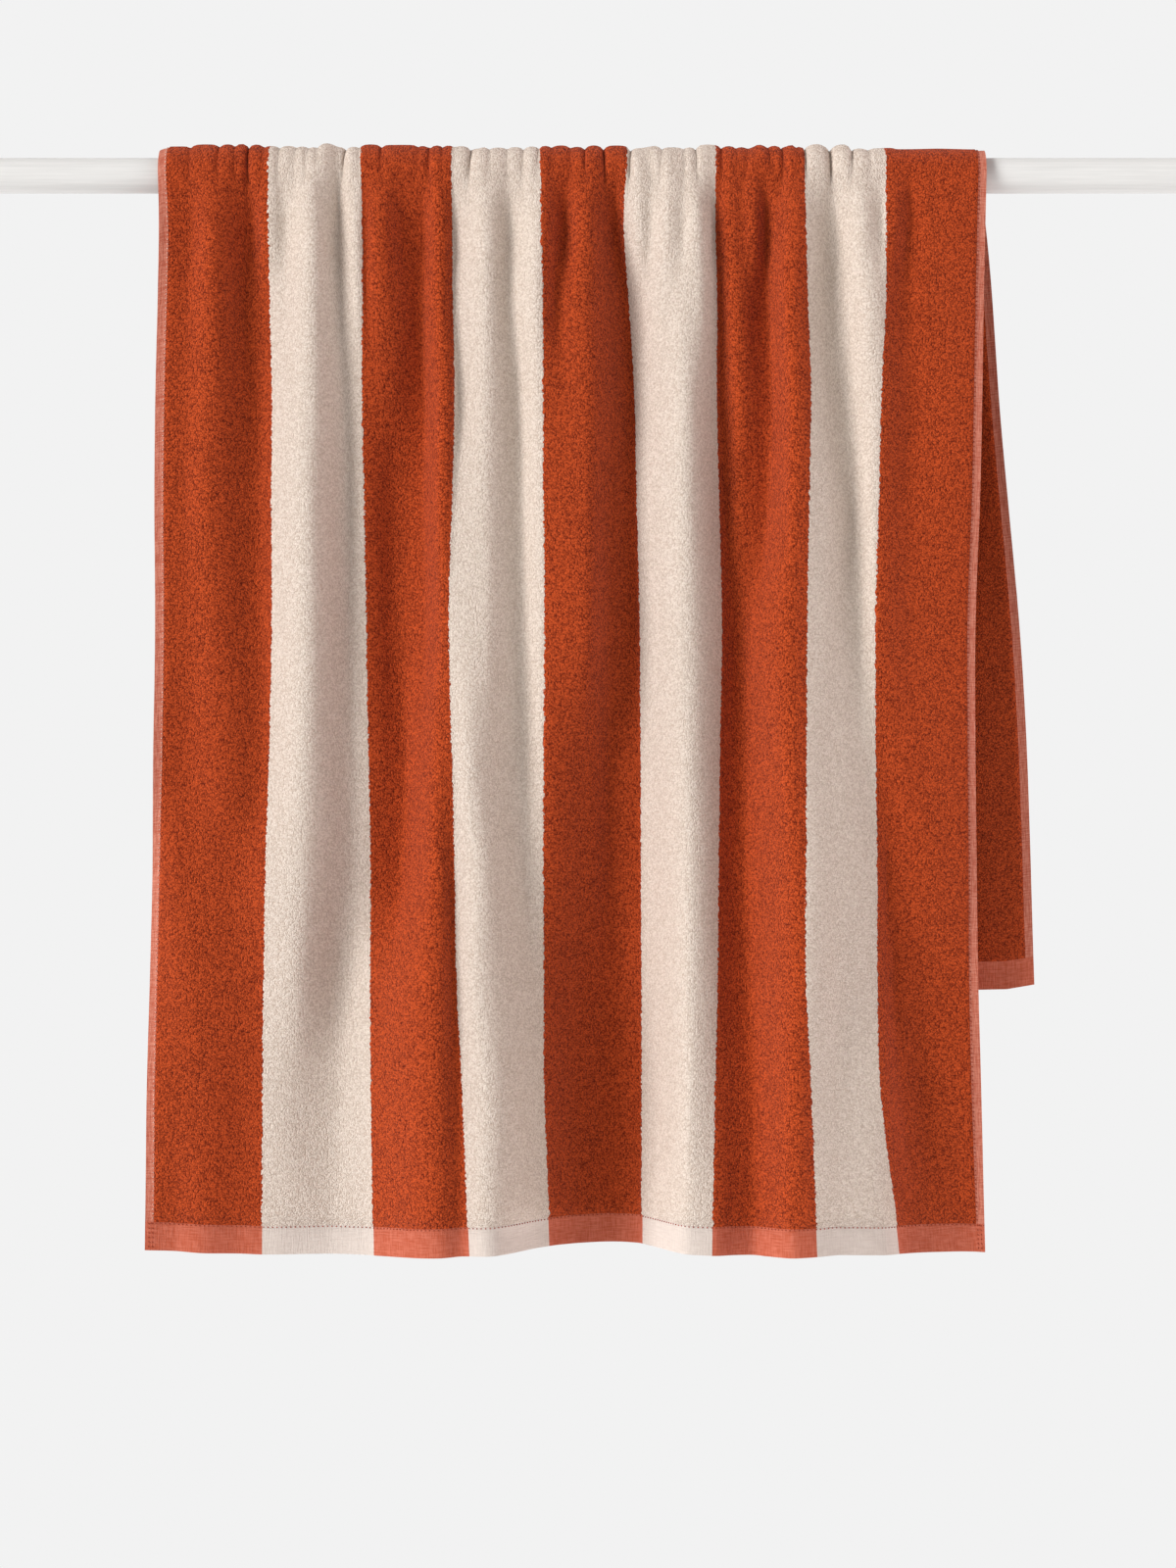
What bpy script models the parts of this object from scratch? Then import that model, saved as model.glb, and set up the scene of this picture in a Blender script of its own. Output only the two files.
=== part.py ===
"""Beach towel hung over a straight round rod.

The rod's axis runs along X through the origin, which is the middle of the rod's left end.
+Z is up and -Y is the front.  The towel is one closed sheet of striped terry that hangs
in front of the rod, passes over it and hangs shorter behind it.  Its width is pushed
together on the rod into small gathers, which run into a few deep folds lower down.

Each section table below gives the line of the cloth as seen from above at one height.
A row is one fold line: how far it lies to the right of the rod's middle, and how far it
stands off the rod's axis, to the front or to the back, both in millimetres.  Ridges and
hollows take turns, with straight stretches between some, and the cloth eases from one to
the next.
"""

import math

import bmesh
import bpy
import numpy as np

MM = 0.001

# The rod, a plain painted dowel
ROD_DIAMETER = 0.03175
ROD_LENGTH = 1.2192
ROD_SIDES = 64
ROD_MIDDLE = ROD_LENGTH / 2

# The towel laid flat
TOWEL_WIDTH = 0.9144
SELVAGE = 0.008             # flat woven edge along both long sides
HEM = 0.0254                # folded and stitched end
# Eight stripes from the left selvage, rust and cream in turn; what is left is the ninth
STRIPES = (0.103, 0.104, 0.101, 0.100, 0.105, 0.103, 0.106, 0.083)

# Thickness of the cloth
TERRY = 0.0045
FLAT_WEAVE = 0.0018         # at the hems and the selvages
PILE_EDGE = 0.0016          # the pile rises to full height over this distance

# How far each hem hangs below the rod's axis: (share of the width from the left, drop)
FRONT_END = ((0.0, 0.967), (0.12, 0.971), (0.24, 0.970), (0.38, 0.964), (0.52, 0.9635),
             (0.64, 0.965), (0.74, 0.968), (0.82, 0.966), (0.9, 0.970), (1.0, 0.972))
BACK_END = ((0.0, 0.738), (0.5, 0.741), (0.97, 0.736), (1.0, 0.732))

# The gathers on the rod: the line of each crest, in mm from the rod's middle
GATHER_CRESTS = (
    -374, -349, -320, -299, -271, -256, -233, -210, -192, -177, -161,
    -144, -124, -98, -82, -65, -48, -28, -10, 7, 28, 46, 72, 91, 110,
    128, 144, 160, 178, 205, 228, 246, 261,
)
GATHER_LEFT = -384          # the towel's left edge
GATHER_FLAT = 272           # right of this the cloth lies flat on the rod
GATHER_RIGHT = 357          # the towel's right edge
GATHER_HOLLOW = 21.0        # the cloth's middle from the rod's axis in a hollow, mm
GATHER_FLAT_OUT = 21.4      # and where it lies flat
# Crest height as a share of the gather's width, from left to right along the rod
GATHER_SHARE = ((-384, 0.16), (-290, 0.18), (-240, 0.24), (110, 0.26), (130, 0.34),
                (180, 0.32), (195, 0.2), (272, 0.18))
GATHER_LOW, GATHER_HIGH = 2.2, 5.5
GATHER_UNEVEN = 0.2         # how much the crest heights vary, as a share
GATHER_TURN = 2.4           # radians from one crest to the next in that variation

# Sections of the front panel: drop below the axis, then (right, out) for each fold line
FRONT_SECTIONS = (
    (50, ((-384, 27), (-357, 21), (-336, 33), (-303, 12), (-285, 25), (-272, 21),
          (-246, 38), (-224, 16), (-207, 29), (-200, 26), (-187, 34), (-166, 17),
          (-148, 14), (-132, 28), (-121, 17), (-90, 38), (-70, 24), (-42, 42), (-21, 22),
          (-3, 37), (25, 9), (47, 30), (55, 28), (72, 42), (84, 39), (97, 46), (114, 24),
          (127, 34), (138, 31), (147, 34), (159, 20), (186, 42), (220, 20), (246, 39),
          (262, 31), (270, 34), (288, 22), (311, 25), (356, 23))),
    (200, ((-387, 28), (-362, 28), (-336, 35), (-298, 14), (-246, 46), (-216, 20),
           (-199, 25), (-182, 22), (-148, 8), (-128, 36), (-115, 25), (-90, 37), (-63, 20),
           (-42, 38), (-22, 38), (-3, 42), (41, 3), (50, 12), (87, 48), (121, 19),
           (136, 31), (163, 22), (184, 50), (230, 19), (258, 40), (292, 25), (320, 27),
           (353, 25))),
    (400, ((-388, 22), (-362, 22), (-334, 28), (-296, 16), (-249, 46), (-213, 16),
           (-196, 17), (-173, 8), (-146, 18), (-127, 47), (-92, 54), (-59, 33), (-40, 46),
           (-4, 52), (19, 22), (41, 7), (51, 17), (89, 53), (132, 13), (180, 65), (205, 54),
           (242, 27), (259, 37), (290, 25), (348, 16))),
    (545, ((-390, 22), (-362, 19), (-325, 27), (-295, 20), (-253, 41), (-210, 12),
           (-194, 13), (-166, 8), (-131, 50), (-120, 50), (-104, 58), (-56, 24), (-38, 32),
           (0, 12), (22, -8), (46, -8), (56, 2), (91, 44), (135, 8), (182, 70), (222, 47),
           (264, 24), (293, 27), (348, 16))),
    (720, ((-393, 16), (-353, 32), (-300, 28), (-263, 38), (-220, 14), (-196, 22),
           (-134, 72), (-118, 59), (-96, 71), (-45, 29), (0, -9), (24, -20), (47, -12),
           (57, 0), (92, 56), (141, 32), (187, 81), (225, 54), (257, 32), (276, 12),
           (305, 10), (351, 11))),
    (945, ((-397, 22), (-372, 20), (-345, 27), (-310, 20), (-275, 22), (-236, 20),
           (-200, 31), (-130, 75), (-112, 69), (-88, 79), (-42, 26), (-28, 12), (0, -5),
           (25, -12), (46, -6), (56, 8), (92, 61), (111, 62), (130, 51), (146, 46),
           (183, 74), (228, 52), (275, 28), (300, 11), (345, -2), (358, 0))),
)

# Sections of the back panel, in the same terms, out being to the back
BACK_SECTIONS = (
    (60, ((-384, 23), (-352, 33), (-318, 15), (-277, 33), (-240, 16), (-207, 33),
          (-170, 14), (-128, 35), (-96, 16), (-64, 32), (-30, 15), (8, 35), (44, 16),
          (80, 33), (116, 15), (152, 33), (188, 16), (224, 34), (262, 18), (300, 30),
          (364, 24))),
    (200, ((-385, 24), (-340, 36), (-292, 12), (-240, 38), (-186, 10), (-132, 40),
           (-78, 11), (-20, 41), (36, 12), (86, 38), (138, 11), (190, 40), (244, 14),
           (300, 34), (374, 22))),
    (450, ((-384, 22), (-322, 44), (-255, 10), (-180, 48), (-104, 9), (-24, 52),
           (54, 10), (124, 46), (196, 10), (262, 46), (322, 18), (396, 26))),
    (735, ((-380, 24), (-300, 50), (-215, 12), (-140, 50), (-65, 14), (22, 60),
           (120, 12), (235, 50), (325, 20), (407, 30))),
)

# Rows of the mesh: drops below the axis, and angles over the rod from front to back
FRONT_ROWS = (0.86, 0.76, 0.66, 0.555, 0.45, 0.355, 0.27, 0.19, 0.12, 0.07, 0.03)
ROD_ROWS = (0, 36, 72, 108, 144, 180)
BACK_ROWS = (0.03, 0.075, 0.14, 0.23, 0.35, 0.48, 0.61)
FOLD_STEPS = 24             # points from one fold line to the next when a line is measured
COLUMN_GAP = 0.0143         # widest gap between two columns of the mesh
COLUMN_SLIVER = 0.0035      # a fold line nearer than this to a stripe's edge is left out

RUST = (0.37, 0.052, 0.018, 1)
CREAM = (0.68, 0.58, 0.50, 1)
WHITE = (0.80, 0.80, 0.78, 1)


def gather_lines():
    """Crests and hollows of the cloth on the rod, as (right, out) rows."""
    crests = (GATHER_LEFT,) + GATHER_CRESTS + (GATHER_FLAT,)
    lines = [(GATHER_LEFT, GATHER_HOLLOW)]
    for k, (left, crest, right) in enumerate(zip(crests, crests[1:], crests[2:])):
        share = float(np.interp(crest, *zip(*GATHER_SHARE)))
        rise = min(max(share * (right - left) / 2, GATHER_LOW), GATHER_HIGH)
        rise *= 1 + GATHER_UNEVEN * math.sin(GATHER_TURN * k)
        lines.append((crest, GATHER_HOLLOW + rise))
        lines.append(((crest + right) / 2, GATHER_HOLLOW))
    lines.append((GATHER_RIGHT, GATHER_FLAT_OUT))
    return lines


def curve(share, span, start, start_slope, end, end_slope):
    """A smooth curve from one value to the next, with a given slope at each."""
    t = share
    return ((2 * t**3 - 3 * t**2 + 1) * start + (t**3 - 2 * t**2 + t) * span * start_slope
            + (3 * t**2 - 2 * t**3) * end + (t**3 - t**2) * span * end_slope)


def section(lines):
    """The cloth's line through its fold lines: distance along it, right and out.

    The line is level at its ridges and hollows and runs on through the rows between them.
    """
    x, y = np.array(lines).T * MM
    span = np.diff(x)
    rise = np.diff(y) / span
    slope = np.concatenate((rise[:1], np.zeros(len(rise) - 1), rise[-1:]))
    for k, (before, after) in enumerate(zip(rise, rise[1:]), start=1):
        if before * after > 0:
            slope[k] = 2 * before * after / (before + after)
    share = np.arange(FOLD_STEPS)[:, None] / FOLD_STEPS
    right = (x[:-1] + span * share).T.ravel()
    out = curve(share, span, y[:-1], slope[:-1], y[1:], slope[1:]).T.ravel()
    right, out = np.append(right, x[-1]), np.append(out, y[-1])
    along = np.concatenate(([0.0], np.cumsum(np.hypot(np.diff(right), np.diff(out)))))
    return along * TOWEL_WIDTH / along[-1], right, out


def stripe_edges():
    """The lines across the flat width where the weave or its colour changes."""
    inner = SELVAGE + np.cumsum((0.0,) + STRIPES)
    return [0.0, *inner, TOWEL_WIDTH - SELVAGE, TOWEL_WIDTH]


def columns():
    """Places across the flat width: the stripes' edges, the gathers' lines, and between."""
    fixed = stripe_edges()
    fixed += [SELVAGE + PILE_EDGE, TOWEL_WIDTH - SELVAGE - PILE_EDGE]
    lines = gather_lines()
    along, right, _ = section(lines)
    places = list(fixed)
    for x, _ in lines[1:-1]:
        place = float(np.interp(x * MM, right, along))
        if min(abs(place - edge) for edge in fixed) > COLUMN_SLIVER:
            places.append(place)
    places.sort()
    filled = [places[0]]
    for left, nextone in zip(places, places[1:]):
        parts = math.ceil((nextone - left) / COLUMN_GAP)
        filled += [left + (nextone - left) * k / parts for k in range(1, parts + 1)]
    return np.array(filled)


def through(levels, values, drop):
    """A smooth curve through the values at each level, one for each column."""
    slopes = np.gradient(values, levels, axis=0)
    k = int(np.clip(np.searchsorted(levels, drop) - 1, 0, len(levels) - 2))
    span = levels[k + 1] - levels[k]
    return curve((drop - levels[k]) / span, span, values[k], slopes[k], values[k + 1],
                 slopes[k + 1])


def panel(sections, places):
    """Levels, and right and out for each column at each level, from the rod down."""
    levels = [0.0] + [drop * MM for drop, _ in sections]
    right, out = [], []
    for lines in [gather_lines()] + [lines for _, lines in sections]:
        along, x, y = section(lines)
        right.append(np.interp(places, along, x))
        out.append(np.interp(places, along, y))
    return np.array(levels), np.array(right), np.array(out)


def hanging_row(levels, right, out, drops, side):
    """One row of points on a hanging panel, with its own drop for each column."""
    points = []
    for column, drop in enumerate(drops):
        x = through(levels, right[:, column], drop)
        y = through(levels, out[:, column], drop)
        points.append((ROD_MIDDLE + x, side * y, -drop))
    return points


def rod_row(right, out, angle):
    """One row of points over the rod, at an angle up from the front."""
    turn = math.radians(angle)
    return [(ROD_MIDDLE + x, -y * math.cos(turn), y * math.sin(turn))
            for x, y in zip(right[0], out[0])]


def towel_rows(places):
    """All rows from the front hem over the rod to the back hem, and whether each is flat."""
    share = places / TOWEL_WIDTH
    front = panel(FRONT_SECTIONS, places)
    back = panel(BACK_SECTIONS, places)
    front_end = np.interp(share, *zip(*FRONT_END))
    back_end = np.interp(share, *zip(*BACK_END))
    level = np.ones_like(places)
    rows = [(hanging_row(*front, front_end, -1), True),
            (hanging_row(*front, front_end - HEM, -1), True),
            (hanging_row(*front, front_end - HEM - PILE_EDGE, -1), False)]
    rows += [(hanging_row(*front, level * drop, -1), False) for drop in FRONT_ROWS]
    rows += [(rod_row(front[1], front[2], angle), False) for angle in ROD_ROWS]
    rows += [(hanging_row(*back, level * drop, 1), False) for drop in BACK_ROWS]
    rows += [(hanging_row(*back, back_end - HEM - PILE_EDGE, 1), False),
             (hanging_row(*back, back_end - HEM, 1), True),
             (hanging_row(*back, back_end, 1), True)]
    return rows


def paint(name, colour, roughness):
    """A plain finish."""
    material = bpy.data.materials.new(name)
    material.use_nodes = True
    surface = material.node_tree.nodes["Principled BSDF"]
    surface.inputs["Base Color"].default_value = colour
    surface.inputs["Roughness"].default_value = roughness
    return material


def make_towel():
    """The towel: one sheet, thick where it is terry and thin at its hems and selvages."""
    places = columns()
    rows = towel_rows(places)
    mesh = bpy.data.meshes.new("towel")
    towel = bpy.data.objects.new("towel", mesh)
    bpy.context.collection.objects.link(towel)
    mesh.materials.append(paint("rust_terry", RUST, 0.95))
    mesh.materials.append(paint("cream_terry", CREAM, 0.95))

    sheet = bmesh.new()
    verts = [[sheet.verts.new(point) for point in points] for points, _ in rows]
    stripes = stripe_edges()[1:-1]
    for lower, upper in zip(verts, verts[1:]):
        for i in range(len(places) - 1):
            face = sheet.faces.new((lower[i], lower[i + 1], upper[i + 1], upper[i]))
            middle = (places[i] + places[i + 1]) / 2
            stripe = int(np.searchsorted(stripes, middle)) - 1
            face.material_index = stripe % 2 if 0 < stripe < len(STRIPES) else 0
            face.smooth = True
    sheet.to_mesh(mesh)
    sheet.free()

    pile = towel.vertex_groups.new(name="pile")
    inner = (places > SELVAGE + PILE_EDGE / 2) & (places < TOWEL_WIDTH - SELVAGE - PILE_EDGE / 2)
    for r, (_, flat) in enumerate(rows):
        for c in range(len(places)):
            weight = 1.0 if inner[c] and not flat else 0.0
            pile.add([r * len(places) + c], weight, "REPLACE")
    body = towel.modifiers.new("thickness", "SOLIDIFY")
    body.thickness = TERRY
    body.offset = 0.0
    body.vertex_group = pile.name
    body.thickness_vertex_group = FLAT_WEAVE / TERRY
    return towel


def make_rod():
    """The rod: a plain round dowel with square-cut ends."""
    mesh = bpy.data.meshes.new("rod")
    rod = bpy.data.objects.new("rod", mesh)
    bpy.context.collection.objects.link(rod)
    mesh.materials.append(paint("white_paint", WHITE, 0.45))
    shape = bmesh.new()
    bmesh.ops.create_cone(shape, cap_ends=True, segments=ROD_SIDES, depth=ROD_LENGTH,
                          radius1=ROD_DIAMETER / 2, radius2=ROD_DIAMETER / 2)
    shape.to_mesh(mesh)
    shape.free()
    mesh.shade_smooth()
    mesh.set_sharp_from_angle(angle=math.radians(40))
    rod.location = (ROD_MIDDLE, 0, 0)
    rod.rotation_euler = (0, math.pi / 2, 0)
    return rod


for old in list(bpy.data.objects):
    bpy.data.objects.remove(old, do_unlink=True)
make_rod()
make_towel()
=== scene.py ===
"""Beach towel hung over a white rod: the finish of every surface, the light and the view.

Lengths are in metres, but for the tables that say mm.  The rod's axis runs along X through
the origin, and -Y is the front.
"""

import math

import bpy
import numpy as np
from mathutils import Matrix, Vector, noise


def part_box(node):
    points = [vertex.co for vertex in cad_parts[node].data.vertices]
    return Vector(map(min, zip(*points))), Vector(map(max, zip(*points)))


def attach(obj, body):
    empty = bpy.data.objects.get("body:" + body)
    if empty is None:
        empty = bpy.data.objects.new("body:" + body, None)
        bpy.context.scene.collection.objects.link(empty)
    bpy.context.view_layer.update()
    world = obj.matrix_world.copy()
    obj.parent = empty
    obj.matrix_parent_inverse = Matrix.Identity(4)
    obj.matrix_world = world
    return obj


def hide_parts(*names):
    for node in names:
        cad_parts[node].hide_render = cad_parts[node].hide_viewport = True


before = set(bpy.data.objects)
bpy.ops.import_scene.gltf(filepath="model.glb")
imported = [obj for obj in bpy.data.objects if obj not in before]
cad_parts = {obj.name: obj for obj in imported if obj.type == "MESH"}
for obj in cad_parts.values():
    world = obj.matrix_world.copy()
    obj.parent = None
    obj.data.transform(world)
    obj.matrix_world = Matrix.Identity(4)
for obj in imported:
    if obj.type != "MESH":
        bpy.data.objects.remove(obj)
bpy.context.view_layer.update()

MM = 0.001

# The rod
rod_low, rod_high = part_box("rod")
ROD_MIDDLE = (rod_low.x + rod_high.x) / 2
ROD_RADIUS = (rod_high.z - rod_low.z) / 2

# The towel laid flat
TOWEL_WIDTH = 0.9144
TOWEL_LENGTH = 1.778
SELVAGE = 0.008             # flat woven edge along both long sides
HEM = 0.0254                # folded and stitched end
# Eight stripes from the left selvage, rust and cream in turn; what is left is the ninth
STRIPES = (0.103, 0.104, 0.101, 0.100, 0.105, 0.103, 0.106, 0.083)
TERRY = 0.0045              # thickness with its loops
FLAT_WEAVE = 0.0018         # thickness at the hems and the selvages
PILE_EDGE = 0.0016          # the loops rise to full height over this distance

# How far each hem hangs below the rod's axis: (share of the width from the left, drop)
FRONT_END = ((0.0, 0.967), (0.12, 0.971), (0.24, 0.970), (0.38, 0.964), (0.52, 0.9635),
             (0.64, 0.965), (0.74, 0.968), (0.82, 0.966), (0.9, 0.970), (1.0, 0.972))
BACK_END = ((0.0, 0.738), (0.5, 0.741), (0.97, 0.736), (1.0, 0.732))

# The gathers over the rod, from left to right: a notch's place from the rod's middle, how
# far the cloth stands out in it, and on the dome to its right.  In mm, to the nearest half.
GATHERS = (
    (-385, 1.5, 3.5), (-358, 2.5, 5), (-332, 3, 5), (-318, 3.5, 5.5), (-306, 2, 5),
    (-292, 3, 4), (-278, 2.5, 4), (-263, 2.5, 3), (-252, 1.5, 2), (-243, 1.5, 4),
    (-218, 0.5, 3), (-206, 2.5, 5), (-186, 3, 5), (-153, 3.5, 4.5), (-142, 3.5, 4.5),
    (-131, 3, 4.5), (-121, 3.5, 4), (-106, 1, 3.5), (-89, 1.5, 2.5), (-73, 1.5, 3),
    (-58, 1, 3), (-44, 1.5, 3.5), (-33, 2.5, 4), (-16, 2, 2.5), (-3, 1, 4), (14, 1, 4.5),
    (38, 0, 2.5), (66, 0.5, 2.5), (86, 1.5, 2.5), (97, 1, 5), (120, 2, 3.5), (133, 2, 3),
    (150, 2.5, 3.5), (162, 2.5, 4), (174, 2, 5), (187, 2.5, 3), (195, 0.5, 4.5),
    (218, 0, 4), (237, 0, 1.5), (252, 0.5, 2),
)
GATHER_FLAT = 278           # right of this the cloth lies flat on the rod
GATHER_RIGHT = 357          # the towel's right edge
GATHER_HOLLOW = 20.6        # the cloth's middle from the rod's axis in the deepest notch
GATHER_FLAT_OUT = 21.3      # and where it lies flat
NOTCH_SHARE, NOTCH_SIDE = 0.3, 5.0  # a notch's side: its share of the dome, and at most
SHOULDER = 0.88             # the dome's height at its shoulders, as a share
GATHER_LEFT_BELOW = 0.45    # how much of the gathers is left at the level of the axis
FOLD_BEGUN = 0.22           # and how much of the folds below has begun there
CLEAR_OF_ROD = 18.5         # the cloth's middle never comes nearer the axis than this

# Where the front panel's stripes meet: drop below the axis, then the eight edges from the
# rod's middle, in mm.  The first row also holds over the rod and for the back panel there.
STRIPE_EDGES = (
    (60, (-286, -203, -123, -42, 34, 114, 193, 267)),
    (200, (-282, -202, -121, -40, 43, 114, 197, 261)),
    (400, (-282, -199, -123, -38, 48, 118, 193, 257)),
    (720, (-289, -194, -116, -41, 50, 114, 191, 257)),
    (810, (-291, -193, -111, -41, 50, 112, 195, 258)),
    (945, (-292, -191, -105, -36, 50, 110, 201, 275)),
)

# Sections of the front panel in mm: drop below the axis, then (right, out) at each fold line
FRONT_SECTIONS = (
    (50, ((-384, 27), (-357, 21), (-336, 33), (-303, 12), (-285, 25), (-272, 21),
          (-246, 38), (-224, 16), (-207, 29), (-200, 26), (-187, 34), (-166, 17),
          (-148, 14), (-132, 28), (-121, 17), (-90, 38), (-70, 24), (-42, 42), (-21, 22),
          (-3, 37), (25, 9), (47, 30), (55, 28), (72, 42), (84, 39), (97, 46), (114, 24),
          (127, 34), (138, 31), (147, 34), (159, 20), (186, 42), (220, 20), (246, 39),
          (262, 31), (270, 34), (288, 22), (311, 25), (356, 23))),
    (110, ((-385, 27), (-360, 24), (-336, 35), (-306, 11), (-272, 24), (-246, 42),
           (-222, 20), (-205, 29), (-199, 26), (-186, 32), (-150, 12), (-132, 29),
           (-121, 19), (-90, 38), (-70, 25), (-44, 45), (-28, 31), (-5, 39), (35, 2),
           (68, 36), (98, 45), (118, 24), (131, 35), (160, 19), (181, 45), (222, 16),
           (252, 40), (287, 22), (303, 25), (355, 19))),
    (200, ((-387, 28), (-362, 28), (-336, 35), (-298, 14), (-246, 46), (-216, 20),
           (-199, 25), (-182, 22), (-148, 8), (-128, 36), (-115, 25), (-90, 37), (-63, 20),
           (-42, 38), (-22, 38), (-3, 42), (41, 3), (50, 12), (87, 48), (121, 19),
           (136, 31), (163, 22), (184, 50), (230, 19), (258, 40), (292, 25), (320, 27),
           (353, 25))),
    (290, ((-388, 27), (-364, 27), (-340, 35), (-297, 18), (-249, 47), (-214, 15),
           (-200, 20), (-172, 8), (-148, 12), (-129, 41), (-118, 36), (-92, 43), (-61, 25),
           (-40, 42), (-4, 46), (20, 22), (41, 9), (50, 17), (87, 51), (125, 17), (138, 25),
           (160, 21), (184, 58), (208, 46), (238, 22), (257, 38), (290, 25), (330, 27),
           (351, 25))),
    (400, ((-388, 22), (-362, 22), (-334, 28), (-296, 16), (-249, 46), (-213, 16),
           (-196, 17), (-173, 8), (-146, 18), (-127, 47), (-92, 54), (-59, 33), (-40, 46),
           (-4, 52), (19, 23), (42, 11), (51, 19), (89, 53), (134, 21), (180, 63),
           (205, 53), (242, 27), (259, 37), (290, 25), (348, 16))),
    (545, ((-390, 22), (-362, 19), (-325, 27), (-295, 20), (-253, 41), (-208, 15),
           (-194, 15), (-166, 9), (-131, 50), (-120, 50), (-104, 58), (-56, 24), (-38, 32),
           (0, 12), (22, -6), (46, -4), (56, 5), (91, 44), (138, 18), (182, 68), (222, 48),
           (264, 26), (293, 27), (348, 16))),
    (630, ((-391, 14), (-366, 25), (-320, 23), (-257, 44), (-211, 17), (-194, 16),
           (-170, 12), (-133, 56), (-120, 47), (-96, 62), (-52, 28), (-40, 28), (0, 4),
           (24, -14), (46, -12), (56, -2), (92, 47), (138, 23), (188, 74), (225, 53),
           (259, 30), (269, 21), (285, 22), (310, 25), (349, 15))),
    (720, ((-393, 16), (-353, 32), (-300, 28), (-263, 38), (-220, 14), (-196, 22),
           (-134, 72), (-118, 59), (-96, 71), (-45, 29), (0, -9), (24, -20), (47, -12),
           (57, 0), (92, 56), (141, 32), (187, 81), (225, 54), (257, 32), (276, 12),
           (305, 10), (351, 11))),
    (810, ((-395, 22), (-350, 29), (-300, 22), (-270, 25), (-226, 15), (-204, 22),
           (-134, 72), (-115, 61), (-88, 74), (-42, 30), (-10, -3), (26, -20), (48, -16),
           (58, -4), (92, 58), (146, 39), (184, 80), (225, 56), (260, 42), (280, 18),
           (305, 6), (354, 5))),
    (945, ((-397, 22), (-372, 20), (-345, 27), (-310, 20), (-275, 22), (-232, 19),
           (-202, 27), (-130, 75), (-112, 69), (-88, 79), (-42, 26), (-28, 12), (0, -5),
           (25, -12), (46, -6), (56, 8), (92, 61), (111, 62), (130, 51), (146, 46),
           (183, 74), (228, 57), (262, 44), (285, 20), (312, 6), (345, -2), (358, 0))),
)

# Sections of the back panel, in the same terms, out being to the back
BACK_SECTIONS = (
    (60, ((-384, 23), (-352, 33), (-318, 15), (-277, 33), (-240, 16), (-207, 33),
          (-170, 14), (-128, 35), (-96, 16), (-64, 32), (-30, 15), (8, 35), (44, 16),
          (80, 33), (116, 15), (152, 33), (188, 16), (224, 34), (262, 18), (300, 30),
          (364, 24))),
    (200, ((-385, 24), (-340, 36), (-292, 12), (-240, 38), (-186, 10), (-132, 40),
           (-78, 11), (-20, 41), (36, 12), (86, 38), (138, 11), (190, 40), (244, 14),
           (300, 34), (374, 22))),
    (450, ((-384, 22), (-322, 44), (-255, 10), (-180, 48), (-104, 9), (-24, 52),
           (54, 10), (124, 46), (196, 10), (262, 46), (322, 18), (396, 26))),
    (735, ((-380, 24), (-300, 50), (-215, 12), (-140, 50), (-65, 14), (22, 60),
           (120, 12), (235, 50), (325, 20), (407, 30))),
)

# Creases of the front panel, soft ridges and (below zero) troughs between two places.
# Places are right of the rod's middle and below its axis along the cloth; above the axis
# the cloth runs on over the rod.  All in mm.
CREASES = (
    # right from, to; below from, to; height, half width
    ((-231, -250), (-34, 26), 2.6, 7),
    ((-226, -222), (-22, 48), -3.0, 5),
    ((-305, -302), (-14, 14), -2.2, 4),
    ((-297, -301), (22, 105), -1.4, 6),
    ((-98, -104), (-28, -4), -2.6, 4),
    ((-144, -142), (-30, 8), -2.2, 4),
    ((56, 80), (-30, 24), 2.4, 6),
    ((45, 66), (-18, 20), -1.8, 5),
    ((145, 140), (-26, 14), -3.0, 4),
    ((151, 166), (-26, 20), 2.6, 5),
    ((166, 173), (-10, 24), -2.0, 4),
    ((178, 178), (-28, 16), -3.0, 3.5),
    ((206, 213), (-34, 18), 1.6, 8),
    ((214, 218), (-22, 2), -2.8, 4.5),
    ((228, 240), (-32, 30), 2.0, 6),
    ((287, 292), (6, 52), -2.6, 5),
    ((308, 313), (-12, 34), -1.2, 5),
    ((300, 306), (14, 56), 1.0, 5),
    ((-118, -105), (74, 80), -1.8, 4),
    ((-374, -325), (533, 577), -1.3, 8),
    ((-352, -318), (508, 560), 1.2, 8),
    ((-365, -336), (813, 876), -1.6, 9),
    ((-316, -302), (820, 894), -1.4, 8),
    ((-290, -262), (836, 884), 1.2, 9),
    ((146, 142), (262, 286), -1.8, 5),
    ((154, 157), (470, 520), -2.2, 6),
    ((169, 172), (541, 572), -2.6, 5),
    ((182, 176), (700, 760), -1.8, 7),
    ((268, 300), (455, 700), 2.0, 14),
    ((312, 330), (560, 640), -1.2, 9),
)
CREASE_ENDS = 0.15          # a crease follows half a wave, less this share at both ends

# The short creases that run down the front, one from each notch of the gathers, in mm
NOTCH_ABOVE, NOTCH_BELOW = 22, 9    # how far above and below the axis's level they reach
NOTCH_HALF = 3.0            # half their width
NOTCH_VARIES = 0.37         # how fast they vary along the rod, in steps of noise a mm

UNEVEN = ((0.9, 55, 80), (0.35, 22, 34))    # soft dents in mm: height, size across and along
PUCKER, PUCKER_PITCH = 0.5, 11      # height and pitch of the hems' puckers, mm
# Rows of points at each hem: distance from the end, and share of the puckers' height
HEM_ROWS = ((0.0, 0.3), (HEM / 2, 0.7), (HEM, 1.0), (HEM + PILE_EDGE, 0.8))

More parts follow.
